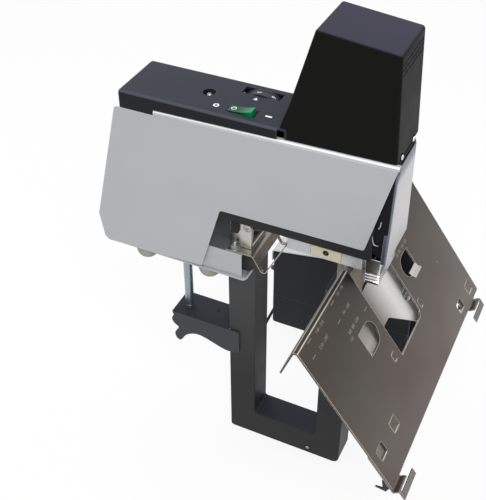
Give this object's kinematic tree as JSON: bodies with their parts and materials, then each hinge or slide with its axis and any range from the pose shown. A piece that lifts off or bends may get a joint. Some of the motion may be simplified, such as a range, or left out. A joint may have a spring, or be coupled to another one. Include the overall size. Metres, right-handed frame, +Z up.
{
  "type": "electric stapler",
  "caption": "Free-standing electric saddle and flat stapler with a folded table, magazine, desk clamp and foot pedal.",
  "frame": {"origin": "middle of the frame's foot bar, on the floor", "axes": "+Z up, -Y towards the operator, +X to the operator's right"},
  "size_m": [0.5023, 0.4011, 0.5592],
  "materials": {
    "frame_steel": "dark satin paint",
    "bracket_steel": "dark satin paint",
    "cover_silver": "satin silver paint",
    "inner_black": "satin black paint",
    "bright_steel": "bright brushed",
    "table_steel": "brown-grey brushed stainless",
    "chrome": "polished",
    "zinc": "pale bluish zinc plate",
    "panel_plastic": "fine grained dark blue-grey",
    "head_plastic": "satin black",
    "grey_rubber": "soft grey",
    "switch_green": "translucent green",
    "cream_plastic": "cream",
    "light_grey": "light grey",
    "winding": "lacquered copper winding",
    "board": "circuit board green",
    "pedal_black": "black",
    "treadle_grey": "ribbed pale grey",
    "cord_black": "black"
  },
  "bodies": {
    "frame": {"c_frame": "frame_steel", "clamp_bracket": "bracket_steel", "side_cover_left": "cover_silver", "side_cover_right": "cover_silver", "rear_panel": "cover_silver", "base_tray": "cover_silver", "bottom_plate": "cover_silver", "pedal_hood": "cover_silver", "chassis_left": "inner_black", "chassis_right": "inner_black", "front_guard": "bright_steel", "paper_guard": "bright_steel", "body_mount": "bright_steel", "saddle_support": "bright_steel", "anvil": "bright_steel", "staple_strip": "bright_steel", "return_spring": "bright_steel", "pedal_spring": "bright_steel", "anvil_holder": "table_steel", "column_bolt": "zinc", "solenoid_bracket": "zinc", "solenoid_yoke": "zinc", "table_hinge_pin": "zinc", "potentiometer": "zinc", "pedal_pin": "zinc", "staple_rail": "zinc", "top_panel": "panel_plastic", "head_cover": "head_plastic", "switch_housing": "head_plastic", "pedal_switch": "head_plastic", "foot_front_left": "grey_rubber", "foot_front_right": "grey_rubber", "foot_rear_left": "grey_rubber", "foot_rear_right": "grey_rubber", "magazine_latch": "cream_plastic", "magazine_guide": "light_grey", "solenoid_coil": "winding", "control_board": "board", "pedal_base": "pedal_black", "mains_gland": "cord_black", "lead_gland": "cord_black", "pedal_gland": "cord_black", "mains_lead": "cord_black", "mains_coil": "cord_black", "mains_plug": "cord_black", "pedal_lead": "cord_black", "pedal_coil": "cord_black"},
    "table": {"saddle_table": "table_steel"},
    "stop_left": {"paper_stop_left": "bright_steel"},
    "stop_right": {"paper_stop_right": "bright_steel"},
    "driver": {"plunger": "zinc", "driver_blade": "bright_steel"},
    "magazine_body": {"magazine": "bright_steel", "magazine_grip": "chrome"},
    "pusher": {"staple_pusher": "head_plastic"},
    "rocker": {"rocker_switch": "switch_green"},
    "dial": {"strength_dial": "head_plastic"},
    "clamp": {"clamp_screw": "zinc", "clamp_pad": "zinc"},
    "treadle": {"pedal_treadle": "treadle_grey"}
  },
  "joints": [
    {"name": "table_tilt", "type": "hinge", "parent": "frame", "child": "table", "pos_m": [0, -0.0595, 0.303], "axis": [1, 0, 0], "range_deg": [-53.2, 0]},
    {"name": "stop_left_slide", "type": "slide", "parent": "table", "child": "stop_left", "axis": [0, -0.599, -0.8007], "range_m": [-0.0035, 0.03]},
    {"name": "stop_right_slide", "type": "slide", "parent": "table", "child": "stop_right", "axis": [0, -0.599, -0.8007], "range_m": [-0.0035, 0.03]},
    {"name": "driver_stroke", "type": "slide", "parent": "frame", "child": "driver", "axis": [0, 0, 1], "range_m": [-0.016, 0], "stiffness_N_per_m": 600, "springref_m": 0.01, "deforming": ["return_spring"]},
    {"name": "magazine_slide", "type": "slide", "parent": "frame", "child": "magazine_body", "axis": [0, 1, 0], "range_m": [-0.06, 0]},
    {"name": "pusher_slide", "type": "slide", "parent": "frame", "child": "pusher", "axis": [0, 1, 0], "range_m": [0, 0.023], "stiffness_N_per_m": 40, "springref_m": -0.03},
    {"name": "rocker_tilt", "type": "hinge", "parent": "frame", "child": "rocker", "pos_m": [-0.019, 0.056, 0.452], "axis": [1, 0, 0], "range_deg": [0, 16]},
    {"name": "dial_turn", "type": "hinge", "parent": "frame", "child": "dial", "pos_m": [0.013, 0.052, 0.4285], "axis": [1, 0, 0], "range_deg": [-135, 135]},
    {"name": "clamp_travel", "type": "slide", "parent": "frame", "child": "clamp", "axis": [0, 0, 1], "range_m": [-0.0555, 0.015]},
    {"name": "treadle_press", "type": "hinge", "parent": "frame", "child": "treadle", "pos_m": [0.227, 0.06, 0.022], "axis": [1, 0, 0], "range_deg": [0, 8], "stiffness_Nm_per_rad": 3, "springref_deg": -8.59, "deforming": ["pedal_spring"]}
  ]
}
